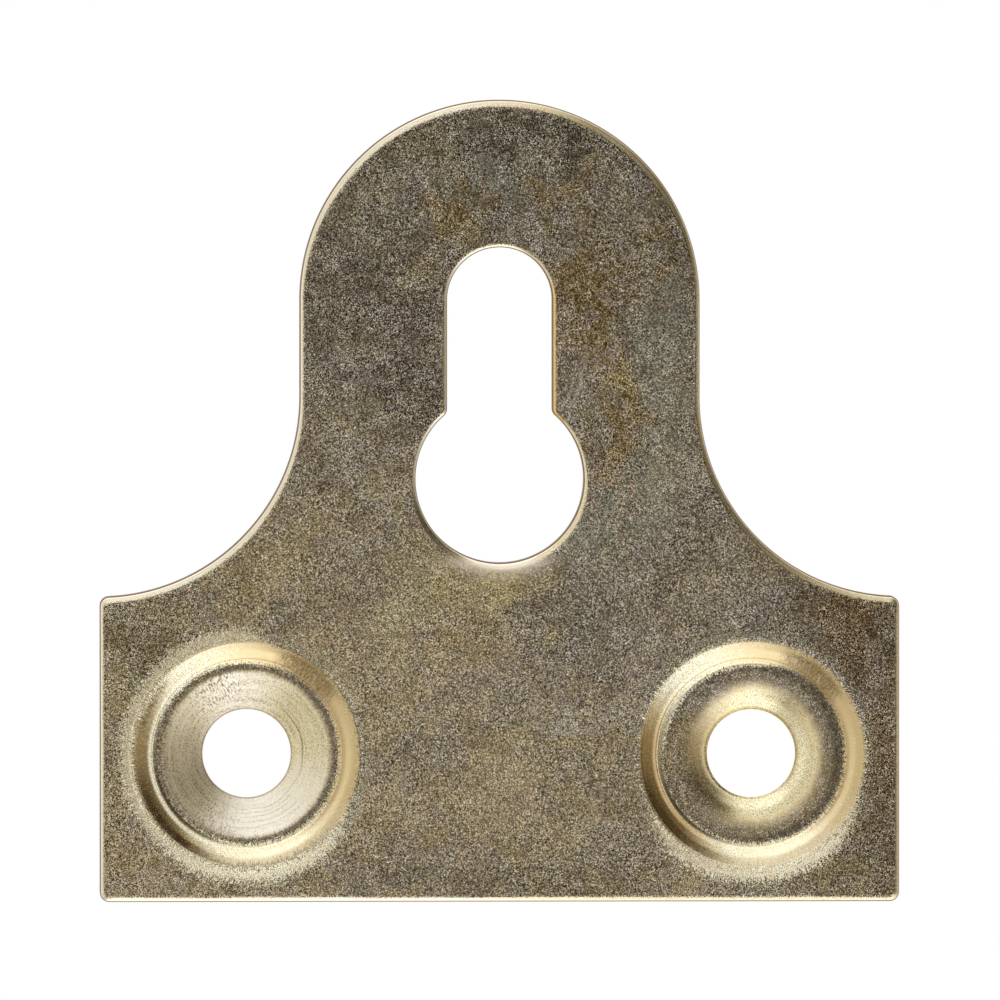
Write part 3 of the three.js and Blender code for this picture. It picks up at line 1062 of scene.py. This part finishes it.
def turned_cone(make, shine):
    """The cut cone of the left seat: a fine grain over faint rings, a few deeper grooves, and
    chatter in two places. It is greener at its right and greyer at its left, with a painted sheen
    at its lower right."""
    radius, towards = make.radius, make.towards
    make.cone = make.left * make.front * radius.band(*CONE)
    wave = make.round_noise(1.4, 6.5, 2, 0.6) - 0.5
    wobble = radius + make.noise(make.spoke, 0.7, 2) * GROOVE_WAVER
    groove = 0
    for reach, clock, fade in GROOVES:
        cut = abs(wobble - (reach + GROOVE_WAVER / 2)).rise(*GROOVE_WIDTH)
        cut = cut * towards(clock).rise(fade, fade + 0.12)
        groove = make.math("MAXIMUM", groove, cut)
    dashes = make.round_noise(60, 6.5, 1) - 0.5
    rattled = towards(203).rise(0.93, 0.985).most(towards(334).rise(0.9, 0.985))
    rattled = rattled * radius.rise(*CONE_RATTLES)
    height = wave * 0.75 + make.fibre * 2.3 + dashes * rattled * 2.4
    make.height = height - groove * 0.33
    turned = make.tint_ramp(make.height + 0.5, TURNED)
    green = towards(80).rise(0.1, 0.9, 0, 0.8)
    turned = make.blend(green, turned, make.cast(turned, GREEN_CAST))
    grey = towards(262).rise(0.2, 0.8) * radius.rise(*CONE_GREYS, 0.5, 1)
    turned = make.blend(grey, turned, make.cast(turned, GREY_CAST))
    # Painted sheen on the cone's lower right
    turned = make.tinted(towards(155).rise(0.3, 0.9, 0, 0.5), turned, CONE_SHEEN)
    turned = make.tinted(radius.rise(*CONE_ENDS, 0, 0.6), turned, HOLE_RIM)
    return make.blend(make.cone, shine, turned)


def head_hole_highlight(make, colour):
    """A painted highlight along the head hole's bottom edge."""
    down = HEAD_HOLE[1] / MM
    from_centre = make.length(make.joined(make.x, 0, make.z - down))
    worn = (from_centre + make.fibre * 3.4).rise(*HIGHLIGHT_FROM_CENTRE)
    worn = worn * (down - make.z).rise(*HIGHLIGHT_BELOW_CENTRE, 0, 0.8)
    make.worn = worn * make.front
    return make.tinted(make.worn, colour, HEAD_HOLE_HIGHLIGHT)


def dark_floors(make, colour):
    """The dishes' etched floors are painted darkest, a painted shade in their recess, and the
    sheared walls are a dull brown.
    """
    sunk = make.radius + make.fibre * 0.6
    sunk = sunk.rise(*SUNK_INNER) * (sunk - make.widened).rise(*SUNK_OUTER)
    sunk = sunk * make.towards(262).rise(-0.2, 0.8, 0.52, 0.3)
    # Painted shade on the dishes' sunk floors, over their etch
    colour = make.tinted(sunk * make.front, colour, DISH_FLOOR_SHADE)
    make.sheared = make.mark("sheared")
    return make.tinted(make.sheared, colour, SHEARED_WALL)


def roughness(make, bend):
    rough = bend.rise(0, 1, 0.42, 0.12)
    soft_roll = make.on_roll * make.x.rise(*ROLL_SOFTENS, 0, 0.27)
    soft_wall = make.towards(222).rise(0.84, 0.96, 0, 0.22) * make.radius.band(*SOFT_WALL)
    soft_wall = soft_wall * (1 - make.left)
    rough = rough.most(soft_roll.most(soft_wall))
    rough = rough.most(make.cone * 0.28)
    return rough.most(make.sheared * 0.5)


def relief(make, bend):
    """The surface's tilt, from the grain, the cone's tool marks and the hairs drawn by the lip."""
    height = make.mix(make.cone, make.fine, make.height)
    hairs = make.radius.band(*DRAWN_HAIRS) * abs(make.east).rise(0.3, 0.8) * make.front
    height = make.mix(hairs, height, make.round_noise(50, 1.2, 1) * 4)
    strength = bend.rise(0, 1, 0.3, 0.05) + make.cone * 0.55
    strength = strength.most(hairs)
    # The normal tips up under the painted highlight on the head hole
    tilt = make.scaled(HIGHLIGHT_TILT, make.worn)
    tilted = make.unit(make.vector("ADD", make.normal, tilt))
    return make.out("ShaderNodeBump", {
        "Strength": strength, "Distance": BUMP_HEIGHT, "Height": height, "Normal": tilted,
    })


def brassed_steel():
    """Thin brass plate on steel: grained olive flats, burnished bends and seats, sheared walls."""
    material, make = new_material("brassed steel", Skin)
    speck = grain(make)
    flats = scratches(make, stained_flats(make, speck))
    bend = bends(make)
    bend = bend * (1 - etched_floors(make))
    plain = burnish(make)
    shine = marked_walls(make, plain)
    shine = rolled_edges(make, shine)
    shine = turned_cone(make, shine)
    # The back's bosses are burnished less, and have none of the seats' marks, painted shade and
    # painted reflections
    shine = make.blend(make.front, plain, shine)
    bend = bend * make.front.rise(0, 1, 0.6, 1)
    colour = make.blend(bend, flats, shine)
    colour = dark_floors(make, head_hole_highlight(make, colour))
    rough = roughness(make, bend)
    shader = make.out("ShaderNodeBsdfPrincipled", {
        "Base Color": colour, "Metallic": 1, "Roughness": rough, "Normal": relief(make, bend),
    })
    make.add("ShaderNodeOutputMaterial", {0: shader})
    return material


# Studio

def solid(name, work, material):
    mesh = bpy.data.meshes.new(name)
    work.to_mesh(mesh)
    work.free()
    mesh.materials.append(material)
    return new_object(name, mesh)


def light_tent():
    """A half dome in front of the plate: soft boxes above and below it, dark boards at the upper
    right and lower left, and paler walls at the sides."""
    material, make = new_material("light tent")
    place = make.out("ShaderNodeTexCoord", output="Object")
    direction = make.unit(place)
    x, y, z = make.parts(direction)
    apart = make.math("ARCCOSINE", y * -1) * (180 / math.pi)
    turn = make.math("ARCTAN2", x, z) / FULL_TURN
    clock = make.math("FLOORED_MODULO", turn, 1)
    light, before = (1, 1, 1, 1), 2
    for degrees, levels in TENT_RINGS:
        # Each ring takes over in the middle of the gap to the one inside it.
        gap = degrees - before
        share = apart.rise(before + TENT_TAKEOVER[0] * gap, degrees - TENT_TAKEOVER[1] * gap)
        light = make.blend(share, light, make.ramp(clock, grey_stops(levels)))
        before = degrees
    glow = make.out("ShaderNodeEmission", {"Color": light, "Strength": 1})
    make.add("ShaderNodeOutputMaterial", {0: glow})
    dome = bmesh.new()
    bmesh.ops.create_uvsphere(dome, u_segments=64, v_segments=32, radius=TENT_RADIUS)
    behind = [vertex for vertex in dome.verts if vertex.co.y > 0.001]
    bmesh.ops.delete(dome, geom=behind, context="VERTS")
    tent = solid("light tent", dome, material)
    tent.visible_camera = False


def grey_stops(levels):
    """Ramp stops from pairs of degrees and brightness, warmer where they are dim."""
    stops = []
    for degrees, level in levels:
        dim = max(0, 1 - level)
        stops.append((degrees / 360, (level, level * (1 - 0.17 * dim), level * (1 - 0.5 * dim))))
    return stops


def white_world():
    """White behind the plate and in its reflections, and soft light from all round."""
    world = bpy.data.worlds.new("studio")
    bpy.context.scene.world = world
    world.use_nodes = True
    world.node_tree.nodes.clear()
    make = NodeMaker(world.node_tree)
    path = make.named("ShaderNodeLightPath")
    seen = path["Is Camera Ray"].most(path["Is Glossy Ray"].most(path["Is Transmission Ray"]))
    soft = make.out("ShaderNodeBackground", {"Color": (1, 1, 1, 1), "Strength": SOFT_LIGHT})
    white = make.out("ShaderNodeBackground", {"Color": (1, 1, 1, 1), "Strength": 1})
    mixed = make.out("ShaderNodeMixShader", {0: seen, 1: soft, 2: white})
    make.add("ShaderNodeOutputWorld", {0: mixed})


def pale_floor():
    """A pale disc below the plate that fades out at its rim."""
    material, make = new_material("pale floor")
    place = make.out("ShaderNodeTexCoord", output="Object")
    away = make.length(place)
    paint = make.out("ShaderNodeBsdfDiffuse", {"Color": FLOOR_PAINT})
    clear = make.out("ShaderNodeBsdfTransparent")
    mixed = make.out("ShaderNodeMixShader", {0: away.rise(*FLOOR_FADES), 1: paint, 2: clear})
    make.add("ShaderNodeOutputMaterial", {0: mixed})
    disc = bmesh.new()
    bmesh.ops.create_circle(disc, cap_ends=True, segments=96, radius=FLOOR_RADIUS)
    floor = solid("floor", disc, material)
    floor.location.z = FLOOR_Z
    floor.visible_glossy = False


def overhead_lamp():
    lamp = bpy.data.lights.new("overhead", "AREA")
    lamp.shape = "DISK"
    lamp.size = LAMP_SIZE
    lamp.energy = LAMP_POWER
    holder = new_object("overhead", lamp)
    holder.location = LAMP_PLACE
    holder.rotation_euler = (LAMP_TILT, 0, 0)
    holder.visible_camera = False
    holder.visible_glossy = False


def camera():
    lens = bpy.data.cameras.new("camera")
    lens.sensor_width = SENSOR
    lens.lens = SENSOR * DISTANCE / FRAME_WIDTH
    lens.clip_start, lens.clip_end = CLIP
    holder = new_object("camera", lens)
    level = math.cos(ELEVATION)
    back = Vector((
        math.sin(AZIMUTH) * level, -math.cos(AZIMUTH) * level,
        math.sin(ELEVATION),
    ))
    holder.location = AIM + back * DISTANCE
    holder.rotation_euler = back.to_track_quat("Z", "Y").to_euler()
    bpy.context.scene.camera = holder


camera()
white_world()
light_tent()
pale_floor()
overhead_lamp()

plate = make_plate(brassed_steel())
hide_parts("mirror_plate")
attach(plate, "root")

bpy.context.scene.view_settings.view_transform = "Standard"
